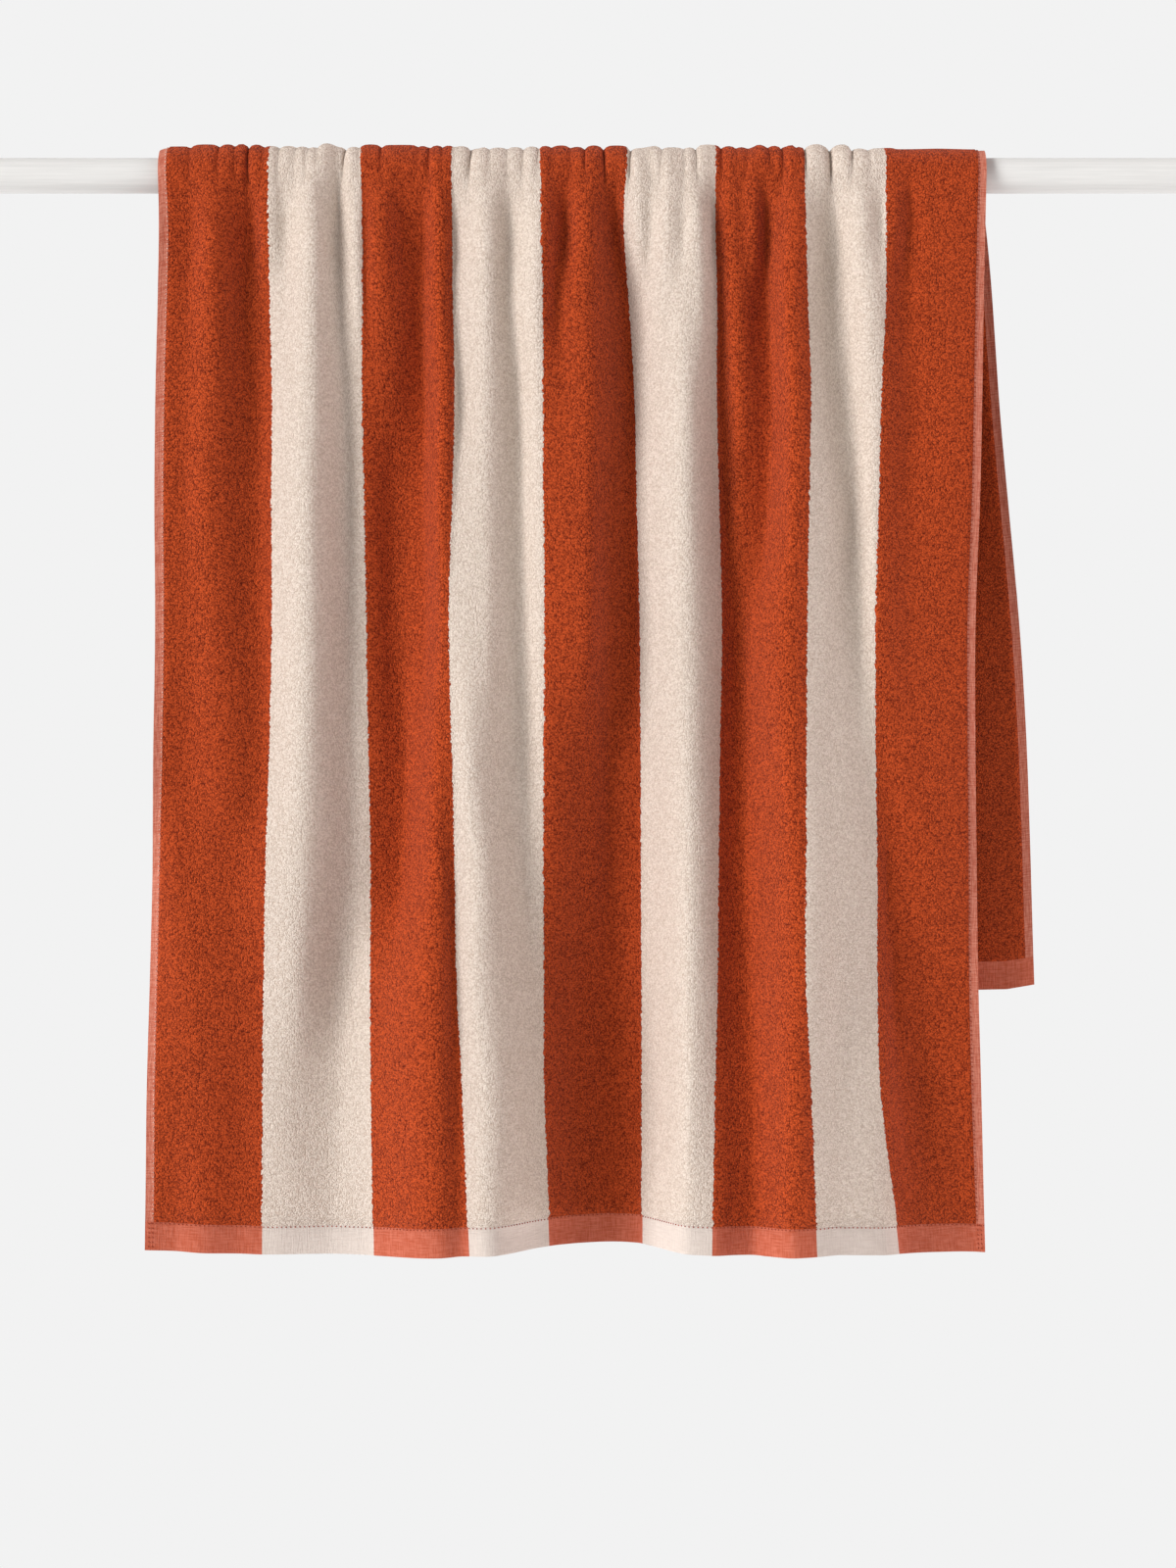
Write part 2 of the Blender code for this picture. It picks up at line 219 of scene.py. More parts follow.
# The stitching, on the flat cloth
STITCH, STITCH_PITCH = 0.0042, 0.0041   # length of a stitch, and from one to the next
STITCH_SIDES, STITCH_RINGS = 6, 4   # faces round it and along it, few for it is repeated
THREAD = 0.0013             # thickness of the thread
HEM_LINE = HEM - 0.0010     # the hem's line from the towel's end
HEM_INSET = SELVAGE / 4     # and how far it stops short of the side edges
SIDE_LINES = (0.0034, 0.0068)   # two lines through each hem's corner, from the side edge
SELVAGE_LINE = 0.0071       # and the selvage's own line
LINE_STEP = 0.004           # from point to point where a line is laid on the cloth

# The mesh of the cloth
FOLD_STEPS = 24             # points from one fold line to the next when a line is measured
COLUMNS = 300               # even steps across, with a few more at the pile's edges
# Each panel's rows: the lowest one's drop, the drop from which they are closer, the two steps
FRONT_ROWS = (0.925, 0.15, 0.0145, 0.0065)
BACK_ROWS = (0.70, 0.06, 0.019, 0.009)
ROD_TURN = 9                # degrees from row to row over the rod
SHARP = math.radians(60)    # an edge that turns more than this is the cloth's rim
FRONT, BACK = -1, 1         # which way along Y a panel faces

# The view: the camera looks level along +Y from this far in front of the rod's axis
VIEW_DISTANCE = 3.0
PIXEL = 0.000885            # one pixel of the picture in the plane of the rod's axis
PICTURE_HEIGHT = 1600       # pixels
ROD_ROW = 179.5             # the picture's row where the rod's axis lies
SENSOR = 36.0               # mm
FLOOR_LEVEL, FLOOR_SIZE = -2.6, 80

# Light
BACKGROUND = "F2F2F2"
ROOM = 0.42                 # how bright the room in front is, beside the white wall behind
ROOM_BLEND = 0.15           # half the width of the change between them, as a direction's Y
GROUND, CEILING = 1.8, 0.4  # how many times as bright it is well below level, and well above
GROUND_RISE = 0.8           # a direction's Z there
PANEL, PANEL_TINT = 1.6, "FFEEEE"   # a broad warm white panel to the right
PANEL_SIDE = 105            # degrees to the right of the view, so a little behind the rod
PANEL_FROM = 0.3            # it fades out where a direction's cosine to its middle is this
KEY_STRENGTH = 3.0          # W/m2 of the soft key light
KEY_SIDE, KEY_RISE = 56, 18     # degrees to the left of the view, and up
KEY_SPREAD = 26             # degrees across, for soft edges

# The sizes that the materials' patterns are drawn at
LOOP_WIDTH, LOOP_LENGTH = 0.0014, 0.0018    # one loop of the terry
LOOP_SHIFT, LOOP_SHIFT_SIZE = 0.0018, 0.0035    # how far their rows wander, over what size
CLUMP_SIZE = 0.025          # patches of loops that lie alike
LEAN, LEAN_SIZE = 0.0026, 0.0045    # how far the loops lean over a colour's edge
LOOP_LEAN = 0.0013          # and how much more one loop leans than the next
YARN = 0.0012               # across one yarn of the flat weave, drawn coarse enough to show
WARP_RUN, WEFT_RUN = 0.012, 0.014   # length of a yarn's thicker and thinner stretches
PLY = 0.0015                # the streaks of the stitching's plies
GRAIN_LENGTH, GRAIN_WIDTH = 0.06, 0.002     # wood grain under the rod's paint

# The pile's colour is painted shade that follows its height, darker in the gaps and lighter on
# the tips, with a little of each of these
LOOP_RISE = 0.22            # loops differ in height
LOOP_TONE, CLUMP_TONE = 0.34, 0.08      # and in tone, and so do clumps of them
PILE_SHADES = (0.41, 1.36)  # painted shade from the deepest gap to the lightest tip
WEAVE_SHADES = (0.7, 1.3)   # the same for the flat weave, where its two yarns are added up
WEAVE_RELIEF = 0.35         # how deep its relief is beside the pile's

# Colours, each from its darkest to its lightest, as sRGB
# The pile's darkest colours are painted shade in the gaps between loops, its lightest are the
# loops' tips
RUST_PILE_GAP_SHADE_TO_TIP = ("641904", "D45524")
CREAM_PILE_GAP_SHADE_TO_TIP = ("C8B3A3", "F0E1D4")
RUST_WEAVE = ("B8573C", "CD7058")
CREAM_WEAVE = ("D5C6BC", "DFD1C7")
SELVAGE_WEAVE = ("B85E48", "D48670")
# The threads' darker colours are painted shade in the grooves between their plies
RUST_THREAD_GROOVE_SHADE_TO_BACK = ("8C3822", "B0513A")
PALE_THREAD_GROOVE_SHADE_TO_BACK = ("D9A28E", "F0CFC0")
WHITE_PAINT = ("E2E1DE", "ECEBE8")


def linear(code):
    """An sRGB hex colour as linear RGBA."""
    values = [int(code[k:k + 2], 16) / 255 for k in (0, 2, 4)]
    return tuple(v / 12.92 if v <= 0.04045 else ((v + 0.055) / 1.055) ** 2.4
                 for v in values) + (1.0,)


AIR = linear(BACKGROUND)[0]


def feed(node, inputs):
    """Set or link a node's inputs, by name or number.

    Each is a constant, another node's output, or a whole node for its first output in use.
    """
    for socket, value in inputs.items():
        if isinstance(value, bpy.types.Node):
            value = next(output for output in value.outputs if output.enabled)
        if isinstance(value, bpy.types.NodeSocket):
            node.id_data.links.new(value, node.inputs[socket])
        else:
            node.inputs[socket].default_value = value


def add(tree, kind, inputs=None, **settings):
    """One node with its settings and what it is fed."""
    node = tree.nodes.new("ShaderNode" + kind)
    for name, value in settings.items():
        setattr(node, name, value)
    feed(node, inputs or {})
    return node


def blank_material(name):
    """A material with only its output and its Principled shader."""
    material = bpy.data.materials.new(name)
    material.use_nodes = True
    return material, material.node_tree, material.node_tree.nodes["Principled BSDF"]


# ---------------------------------------------------------------- the shape of the cloth

def gather_lines():
    """The cloth over the rod as (right, out) rows: domes with pinched notches between."""
    flat = GATHER_FLAT_OUT - GATHER_HOLLOW
    lines = []
    nexts = GATHERS[1:] + ((GATHER_FLAT, flat, flat),)
    for (left, low, rise), (right, low_right, _) in zip(GATHERS, nexts):
        side = min(NOTCH_SHARE * (right - left), NOTCH_SIDE)
        lines += [(left, low), (left + side, low + SHOULDER * (rise - low)),
                  ((left + right) / 2, rise),
                  (right - side, low_right + SHOULDER * (rise - low_right))]
    lines += [(GATHER_FLAT, flat), (GATHER_RIGHT, flat)]
    return [(right, GATHER_HOLLOW + rise) for right, rise in lines]


def curve(t, span, start, start_slope, end, end_slope):
    """A smooth curve from one value to the next, with a given slope at each."""
    return ((2 * t**3 - 3 * t**2 + 1) * start + (t**3 - 2 * t**2 + t) * span * start_slope
            + (3 * t**2 - 2 * t**3) * end + (t**3 - t**2) * span * end_slope)


def section(lines):
    """The cloth's line through its fold lines: distance along it, right and out.

    The line is level at its ridges and hollows and runs on through the rows between them.
    """
    x, y = np.array(lines).T * MM
    span = np.diff(x)
    rise = np.diff(y) / span
    slope = np.concatenate((rise[:1], np.zeros(len(rise) - 1), rise[-1:]))
    for k, (before, after) in enumerate(zip(rise, rise[1:]), start=1):
        if before * after > 0:
            slope[k] = 2 * before * after / (before + after)
    share = np.arange(FOLD_STEPS)[:, None] / FOLD_STEPS
    right = (x[:-1] + span * share).T.ravel()
    out = curve(share, span, y[:-1], slope[:-1], y[1:], slope[1:]).T.ravel()
    right, out = np.append(right, x[-1]), np.append(out, y[-1])
    along = np.concatenate(([0.0], np.cumsum(np.hypot(np.diff(right), np.diff(out)))))
    return along * TOWEL_WIDTH / along[-1], right, out


def level_with_rod(over, first):
    """How far out the cloth is at the axis's level: gathers fade and the first folds begin."""
    _, right, out = over
    _, x, y = first
    begun = np.interp(right, x, y) - y.min()
    hollow = GATHER_HOLLOW * MM
    return hollow + GATHER_LEFT_BELOW * (out - hollow) + FOLD_BEGUN * begun


def placed(line, places, level, side):
    """Right and out of each column on a line of the cloth.

    The soft cloth gives a little sideways, so that each stripe's edge lies in its place.
    """
    along, x, y = line
    drops, edges = zip(*STRIPE_EDGES)
    if side == FRONT or level <= drops[0] * MM:
        at_level = [np.interp(level / MM, drops, edge) * MM for edge in zip(*edges)]
        there = np.interp(at_level, x, along)
        flat = (0.0, *(SELVAGE + np.cumsum(STRIPES)), TOWEL_WIDTH)
        places = np.interp(places, flat, (0.0, *there, TOWEL_WIDTH))
    return np.interp(places, along, x), np.interp(places, along, y)


def panel(sections, places, side):
    """Levels, then right, out and their slopes for each column there, from the rod down."""
    over = section(gather_lines())
    lines = [section(rows) for _, rows in sections]
    lines.insert(0, (over[0], over[1], level_with_rod(over, lines[0])))
    levels = np.array([0.0] + [drop * MM for drop, _ in sections])
    right, out = np.array([placed(line, places, level, side)
                           for line, level in zip(lines, levels)]).transpose(1, 0, 2)
    return (levels, right, out, np.gradient(right, levels, axis=0),
            np.gradient(out, levels, axis=0))


def through(levels, values, slopes, drops):
    """A smooth curve through the values at each level, read at one drop for each column."""
    columns = np.arange(values.shape[1])
    k = np.clip(np.searchsorted(levels, drops) - 1, 0, len(levels) - 2)
    span = levels[k + 1] - levels[k]
    return curve((drops - levels[k]) / span, span, values[k, columns], slopes[k, columns],
                 values[k + 1, columns], slopes[k + 1, columns])


def notch_creases():
    """The short creases down the front, one from each notch between two gathers."""
    creases = []
    for (_, _, before), (place, low, after) in zip(GATHERS, GATHERS[1:]):
        depth = (before + after) / 2 - low
        uneven = noise.noise((place * NOTCH_VARIES, 0, 0))
        creases.append(((place, place + NOTCH_HALF * uneven),
                        (-NOTCH_ABOVE, NOTCH_BELOW * (1 + uneven)), -depth, NOTCH_HALF))
    return tuple(creases)


ALL_CREASES = CREASES + notch_creases()


def creased(right, below):
    """How far the creases lift the front panel at each place, in metres."""
    lift = np.zeros_like(right)
    for (right_from, right_to), (below_from, below_to), height, half in ALL_CREASES:
        start = np.array((right_from, below_from)) * MM
        run = np.array((right_to, below_to)) * MM - start
        share = ((right - start[0]) * run[0] + (below - start[1]) * run[1]) / (run @ run)
        near = np.clip(share, 0, 1)
        gap = np.hypot(right - start[0] - near * run[0], below - start[1] - near * run[1])
        fade = np.sin(math.pi * (CREASE_ENDS + (1 - 2 * CREASE_ENDS) * near))
        lift += height * MM * fade * np.exp(-(gap / (half * MM)) ** 2)
    return lift


def dented(right, way):
    """Soft unevenness all over the cloth, way being the distance from the rod's front."""
    lift = np.zeros_like(right)
    for height, across, along in UNEVEN:
        for k, (x, w) in enumerate(zip(right, way)):
            lift[k] += height * MM * noise.noise((x / (across * MM), w / (along * MM), across))
    return lift


def hanging_row(shape, drops, side):
    """One row of points on a hanging panel, with its own drop for each column."""
    levels, right, out, right_slopes, out_slopes = shape
    x = through(levels, right, right_slopes, drops)
    y = through(levels, out, out_slopes, drops)
    way = drops
    if side == FRONT:
        y = y + creased(x, drops)
    else:
        way = -drops - math.pi * ROD_RADIUS
    y = y + dented(x, way)
    clear = np.sqrt(np.maximum((CLEAR_OF_ROD * MM) ** 2 - drops**2, 0))
    y = np.where(drops < CLEAR_OF_ROD * MM, np.maximum(y, clear), y)
    return np.stack((ROD_MIDDLE + x, side * y, -drops), axis=1)


def rod_row(over, front, back, angle):
    """One row of points over the rod, at an angle up from the front."""
    turn = math.radians(angle)
    _, rights, outs, _, _ = front if angle <= 90 else back
    right = rights[0]
    share = math.sin(turn) ** 2
    out = (1 - share) * outs[0] + share * over
    way = np.full_like(right, -turn * ROD_RADIUS)
    if angle <= 90:
        out = out + creased(right, way)
    out = np.maximum(out + dented(right, way), CLEAR_OF_ROD * MM)
    return np.stack((ROD_MIDDLE + right, -out * math.cos(turn), out * math.sin(turn)), axis=1)


def cloth_columns():
    """Places across the flat width."""
    edge = np.array((0.0, SELVAGE / 2, SELVAGE))
    pile = SELVAGE + PILE_EDGE
    inner = np.linspace(pile, TOWEL_WIDTH - pile, COLUMNS + 1)
    return np.concatenate((edge, inner, TOWEL_WIDTH - edge[::-1]))


def drops_to_rod(lowest, near, step, near_step):
    """Drops below the axis, from a panel's lowest even row up to the rod."""
    far = np.arange(lowest, near, -step)
    return np.concatenate((far, np.arange(near, near_step / 2, -near_step)))


def hem_rows(shape, ends, pucker, side):
    """The rows of points at a panel's end, from the end up."""
    rows = []
    for up, share in HEM_ROWS:
        row = hanging_row(shape, ends - up, side)
        row[:, 1] += side * share * pucker
        rows.append(row)
    return rows


def cloth_rows(places):
    """Every row of points from the front hem over the rod to the back hem."""
    share = places / TOWEL_WIDTH
    front = panel(FRONT_SECTIONS, places, FRONT)
    back = panel(BACK_SECTIONS, places, BACK)
    _, over = placed(section(gather_lines()), places, 0.0, FRONT)
    pucker = np.array([noise.noise((x / (PUCKER_PITCH * MM), 0, 0)) for x in places])
    pucker *= PUCKER * MM
    rows = hem_rows(front, np.interp(share, *zip(*FRONT_END)), pucker, FRONT)
    for drop in drops_to_rod(*FRONT_ROWS):
        rows.append(hanging_row(front, np.full_like(places, drop), FRONT))
    for angle in range(0, 181, ROD_TURN):
        rows.append(rod_row(over, front, back, angle))
    for drop in drops_to_rod(*BACK_ROWS)[::-1]:
        rows.append(hanging_row(back, np.full_like(places, drop), BACK))
    rows += hem_rows(back, np.interp(share, *zip(*BACK_END)), pucker, BACK)[::-1]
    return np.array(rows)


def flat_places(rows):
    """How far along the towel each row lies, for each column, measured on the cloth."""
    steps = np.linalg.norm(np.diff(rows, axis=0), axis=2)
    along = np.concatenate((np.zeros((1, rows.shape[1])), np.cumsum(steps, axis=0)))
    return along * TOWEL_LENGTH / along[-1]


def make_cloth(places, rows, along):
    """The towel's cloth: one sheet on the folds, thick where it is terry.

    Its UV map is the cloth laid flat, in metres.
    """
    count = len(places)
    mesh = bpy.data.meshes.new("towel_cloth")
    cloth = bpy.data.objects.new("towel_cloth", mesh)
    bpy.context.collection.objects.link(cloth)
    faces = [(r * count + c, r * count + c + 1, (r + 1) * count + c + 1, (r + 1) * count + c)
             for r in range(len(rows) - 1) for c in range(count - 1)]
    mesh.from_pydata(rows.reshape(-1, 3).tolist(), [], faces)
    flat = mesh.uv_layers.new(name="flat")
    spots = np.stack((np.broadcast_to(places, along.shape), along), axis=2).reshape(-1, 2)
    corners = np.empty(len(mesh.loops), dtype=np.int32)
    mesh.loops.foreach_get("vertex_index", corners)
    flat.data.foreach_set("uv", spots[corners].reshape(-1))

    # The pile is thick away from the sides and the ends
    pile = cloth.vertex_groups.new(name="pile")
    from_side = np.minimum(spots[:, 0], TOWEL_WIDTH - spots[:, 0])
    from_end = np.minimum(spots[:, 1], TOWEL_LENGTH - spots[:, 1])
    looped = (from_side > SELVAGE + PILE_EDGE / 2) & (from_end > HEM + PILE_EDGE / 2)
    pile.add(np.flatnonzero(looped).tolist(), 1.0, "REPLACE")
    pile.add(np.flatnonzero(~looped).tolist(), 0.0, "REPLACE")
    body = cloth.modifiers.new("thickness", "SOLIDIFY")
    body.thickness = TERRY
    body.offset = 0.0
    body.vertex_group = pile.name
    body.thickness_vertex_group = FLAT_WEAVE / TERRY
    bpy.ops.object.select_all(action="DESELECT")
    cloth.select_set(True)
    bpy.context.view_layer.objects.active = cloth
    bpy.ops.object.modifier_apply(modifier=body.name)
    bpy.ops.object.shade_smooth_by_angle(angle=SHARP)
    return cloth


# ---------------------------------------------------------------- stitching

def on_cloth(grid, across, run):
    """Points on the outer face of the flat weave, for places on the flat cloth."""
    places, rows, along, outward = grid
    spots = []
    for a, r in zip(across, run):
        c = int(np.clip(np.searchsorted(places, a) - 1, 0, len(places) - 2))
        share = (a - places[c]) / (places[c + 1] - places[c])
        there = along[:, c] + share * (along[:, c + 1] - along[:, c])
        face = rows + outward * (FLAT_WEAVE / 2 + THREAD / 4)
        spot = face[:, c] + share * (face[:, c + 1] - face[:, c])
        spots.append([np.interp(r, there, spot[:, k]) for k in range(3)])
    return spots


def one_stitch():
    """A stitch lying along X: a ball drawn out to a rounded rod."""
    bpy.ops.object.select_all(action="DESELECT")
    bpy.ops.mesh.primitive_uv_sphere_add(segments=STITCH_SIDES, ring_count=STITCH_RINGS,
                                         radius=THREAD / 2, location=(THREAD / 2, 0, 0),
                                         rotation=(0, math.pi / 2, 0))
    stitch = bpy.context.object
    bpy.ops.object.transform_apply(location=True, rotation=True, scale=True)
    past_middle = THREAD * 0.55
    for point in stitch.data.vertices:
        point.select = point.co.x > past_middle
    bpy.ops.object.mode_set(mode="EDIT")
    bpy.ops.transform.translate(value=(STITCH - THREAD, 0, 0))
    bpy.ops.object.mode_set(mode="OBJECT")
    return stitch


def stitch_line(points):
    """A row of stitches laid along points on the cloth."""
    path = bpy.data.curves.new("line", "CURVE")
    path.dimensions = "3D"
    spline = path.splines.new("POLY")
    spline.points.add(len(points) - 1)
    for spot, point in zip(spline.points, points):
        spot.co = (*point, 1.0)
    line = bpy.data.objects.new("line", path)
    bpy.context.collection.objects.link(line)
    stitch = one_stitch()
    repeat = stitch.modifiers.new("repeat", "ARRAY")
    repeat.fit_type = "FIT_CURVE"
    repeat.curve = line
    repeat.use_relative_offset = False
    repeat.use_constant_offset = True
    repeat.constant_offset_displace = (STITCH_PITCH, 0, 0)
    follow = stitch.modifiers.new("follow", "CURVE")
    follow.object = line
    for modifier in (repeat.name, follow.name):
        bpy.ops.object.modifier_apply(modifier=modifier)
    bpy.data.objects.remove(line)
    return stitch


def spots_between(start, end):
    """Even places from one flat place to another, (across, run) each."""
    count = max(int(math.dist(start, end) / LINE_STEP), 2)
    return np.linspace(start[0], end[0], count), np.linspace(start[1], end[1], count)


def joined(name, lines):
    """The rows of stitches as one piece."""
    bpy.ops.object.select_all(action="DESELECT")
    for line in lines:
        line.select_set(True)
    bpy.context.view_layer.objects.active = lines[0]
    bpy.ops.object.join()
    piece = bpy.context.object
    piece.name = piece.data.name = name
    bpy.ops.object.shade_smooth()
    return piece


def make_stitching(grid):
    """Rust thread along the hems and in their corners, pale thread down the left selvage."""
    rust = []
    for end, hem_line in ((0.0, HEM_LINE), (TOWEL_LENGTH, TOWEL_LENGTH - HEM_LINE)):
        rust.append(((HEM_INSET, hem_line), (TOWEL_WIDTH - HEM_INSET, hem_line)))
        for side in SIDE_LINES:
            rust.append(((side, end), (side, hem_line)))
            rust.append(((TOWEL_WIDTH - side, end), (TOWEL_WIDTH - side, hem_line)))
    left, right = ([(across, run) for run in (HEM, TOWEL_LENGTH - HEM)]
                   for across in (SELVAGE_LINE, TOWEL_WIDTH - SELVAGE_LINE))
    rust.append(right)
    pieces = []
    for name, lines in (("rust_stitching", rust), ("pale_stitching", [left])):
        rows = [stitch_line(on_cloth(grid, *spots_between(*line))) for line in lines]
        pieces.append(joined(name, rows))
    return pieces


# ---------------------------------------------------------------- materials

def terry_material():
    """Looped cotton terry in two dyed yarns, flat woven at the hems and the selvages.

    Loops of one and a half to two millimetres scatter the light, so there is no gloss.  Their
    colour
    follows their height: painted shade darkens the gaps between them and their tips are
    painted lighter.  The flat weave shows the pale weft through the dyed warp, so there the
    rust turns to salmon.
    """
    material, tree, surface = blank_material("cotton_terry_rust_and_cream")
    flat = add(tree, "UVMap", uv_map="flat")
    place = add(tree, "SeparateXYZ", {0: flat})
    across, along = place.outputs["X"], place.outputs["Y"]

    # Loops: one cell each, in rows that wander
    wander = add(tree, "TexNoise", {"Vector": flat, "Scale": 1 / LOOP_SHIFT_SIZE,
                                    "Detail": 1.0}, noise_dimensions="2D").outputs["Color"]
    wander = add(tree, "VectorMath", {0: wander, 1: (0.5, 0.5, 0.5)}, operation="SUBTRACT")
    wander = add(tree, "VectorMath", {0: wander, 1: (LOOP_SHIFT, LOOP_SHIFT, 0.0)},
                 operation="MULTIPLY")
    wander = add(tree, "VectorMath", {0: flat, 1: wander}, operation="ADD")
    cells = add(tree, "VectorMath", {0: wander, 1: (1 / LOOP_WIDTH, 1 / LOOP_LENGTH, 1.0)},
                operation="MULTIPLY")
    loops = add(tree, "TexVoronoi", {"Vector": cells, "Scale": 1.0, "Randomness": 0.8},
                voronoi_dimensions="2D", feature="F1")
    tip = add(tree, "Math", {0: 1.0, 1: loops.outputs["Distance"]}, operation="SUBTRACT")
    tone = add(tree, "SeparateXYZ", {0: loops.outputs["Color"]}).outputs["X"]
    clump = add(tree, "TexNoise", {"Vector": flat, "Scale": 1 / CLUMP_SIZE, "Detail": 2.0},
                noise_dimensions="2D")

    # Stripes: the loops lean over each colour's edge by a loop or so, the flat weave doesn't
    lean = add(tree, "TexNoise", {"Vector": flat, "Scale": 1 / LEAN_SIZE, "Detail": 1.0},
               noise_dimensions="2D")
    shift = add(tree, "Math", {0: lean, 1: LEAN, 2: -(LEAN + LOOP_LEAN) / 2},
                operation="MULTIPLY_ADD")
    shift = add(tree, "Math", {0: tone, 1: LOOP_LEAN, 2: shift}, operation="MULTIPLY_ADD")
    leaning = add(tree, "Math", {0: across, 1: shift}, operation="ADD")

    def is_cream(spot):
        """1 on the cream stripes, by counting the stripes' edges to the left of a spot."""
        count = 0.0
        for edge in SELVAGE + np.cumsum(STRIPES):
            past = add(tree, "Math", {0: spot, 1: float(edge)}, operation="GREATER_THAN")
            count = add(tree, "Math", {0: past, 1: count}, operation="ADD")
        return add(tree, "Math", {0: count, 1: 2.0}, operation="MODULO")

    def within(spot, full, margin):
        """1 within a margin of either side of the towel."""
        far = add(tree, "Math", {0: full, 1: spot}, operation="SUBTRACT")
        nearest = add(tree, "Math", {0: spot, 1: far}, operation="MINIMUM")
        return add(tree, "Math", {0: nearest, 1: margin}, operation="LESS_THAN")

    in_selvage = within(across, TOWEL_WIDTH, SELVAGE)
    in_hem = within(along, TOWEL_LENGTH, HEM)
    is_flat = add(tree, "Math", {0: in_selvage, 1: in_hem}, operation="MAXIMUM")

    # Pile: painted shade deep in the gaps, tips painted lighter, and a little different in
    # tone from loop to loop
    height = add(tree, "Math", {0: tone, 1: LOOP_RISE, 2: tip}, operation="MULTIPLY_ADD")
    shade = add(tree, "Math", {0: tone, 1: LOOP_TONE, 2: height}, operation="MULTIPLY_ADD")
    shade = add(tree, "Math", {0: clump, 1: CLUMP_TONE, 2: shade}, operation="MULTIPLY_ADD")
    gap, top = PILE_SHADES
    shade = add(tree, "MapRange", {0: shade, 1: gap, 2: top, 3: 0.0, 4: 1.0})

    # Flat weave: fine crossed yarns
    yarns = []
    for pitches in ((1 / YARN, 1 / WARP_RUN, 1.0), (1 / WEFT_RUN, 1 / YARN, 1.0)):
        drawn = add(tree, "VectorMath", {0: flat, 1: pitches}, operation="MULTIPLY")
        yarns.append(add(tree, "TexNoise", {"Vector": drawn, "Scale": 1.0, "Detail": 1.0},
                         noise_dimensions="2D"))
    heather = add(tree, "Math", {0: yarns[0], 1: yarns[1]}, operation="ADD")
    low, high = WEAVE_SHADES
    heather = add(tree, "MapRange", {0: heather, 1: low, 2: high, 3: 0.0, 4: 1.0})

    # Colour: the selvage is a paler rust than the hems, but for where it is in a hem
    rust, cream, salmon, linen, edge = (
        add(tree, "Mix", {0: share, 6: linear(dark), 7: linear(light)}, data_type="RGBA")
        for share, (dark, light) in ((shade, RUST_PILE_GAP_SHADE_TO_TIP), (shade, CREAM_PILE_GAP_SHADE_TO_TIP),
                                     (heather, RUST_WEAVE), (heather, CREAM_WEAVE),
                                     (heather, SELVAGE_WEAVE)))
    pile = add(tree, "Mix", {0: is_cream(leaning), 6: rust, 7: cream}, data_type="RGBA")
    plain = add(tree, "Mix", {0: is_cream(across), 6: salmon, 7: linen}, data_type="RGBA")
    beside_pile = add(tree, "Math", {0: 1.0, 1: in_hem}, operation="SUBTRACT")
    beside_pile = add(tree, "Math", {0: in_selvage, 1: beside_pile}, operation="MULTIPLY")
    plain = add(tree, "Mix", {0: beside_pile, 6: plain, 7: edge}, data_type="RGBA")
    colour = add(tree, "Mix", {0: is_flat, 6: pile, 7: plain}, data_type="RGBA")

    weave = add(tree, "Math", {0: heather, 1: WEAVE_RELIEF}, operation="MULTIPLY")
    relief = add(tree, "Mix", {0: is_flat, 6: height, 7: weave}, data_type="RGBA")
    bump = add(tree, "Bump", {"Strength": 0.75, "Distance": 0.0012, "Height": relief})
    feed(surface, {"Base Color": colour, "Normal": bump, "Roughness": 0.95,
                   "Specular IOR Level": 0.06, "Sheen Weight": 0.06, "Sheen Roughness": 0.6})
    return material


def thread_material(name, shade, light):
    """Spun cotton thread: two plies twisted round each other, dull, with painted shade in the
    grooves between them and their raised backs painted lighter.

    A ply's turn is about 0.7 mm, drawn as streaks twice as coarse so that it shows.
    """
    material, tree, surface = blank_material("spun_cotton_thread_" + name)
    place = add(tree, "TexCoord").outputs["Object"]
    plies = add(tree, "TexNoise", {"Vector": place, "Scale": 1 / PLY, "Detail": 2.0})
    # the plies' relief also sets their colour: painted shade in the grooves, lighter on the
    # backs
    share = add(tree, "MapRange", {0: plies, 1: 0.35, 2: 0.65, 3: 0.0, 4: 1.0})
    colour = add(tree, "Mix", {0: share, 6: linear(shade), 7: linear(light)},
                 data_type="RGBA")
    bump = add(tree, "Bump", {"Strength": 0.5, "Distance": 0.0002, "Height": plies})
    feed(surface, {"Base Color": colour, "Normal": bump, "Roughness": 0.85,
                   "Specular IOR Level": 0.2})
    return material


def paint_material():
    """Satin white paint on a turned wooden dowel: faint grain under an even soft gloss."""
    material, tree, surface = blank_material("satin_white_paint_on_wood")
    place = add(tree, "TexCoord").outputs["Object"]
    along_rod = (1 / GRAIN_LENGTH, 1 / GRAIN_WIDTH, 1 / GRAIN_WIDTH)
    grain = add(tree, "VectorMath", {0: place, 1: along_rod}, operation="MULTIPLY")
    streaks = add(tree, "TexNoise", {"Vector": grain, "Scale": 1.0, "Detail": 3.0})
    cover = add(tree, "MapRange", {0: streaks, 1: 0.3, 2: 0.7, 3: 0.0, 4: 1.0})
    shade, light = WHITE_PAINT
    colour = add(tree, "Mix", {0: cover, 6: linear(shade), 7: linear(light)},
                 data_type="RGBA")
    bump = add(tree, "Bump", {"Strength": 0.25, "Distance": 0.0002, "Height": streaks})
    feed(surface, {"Base Color": colour, "Normal": bump, "Roughness": 0.42})
    return material


# ---------------------------------------------------------------- stage, light and view

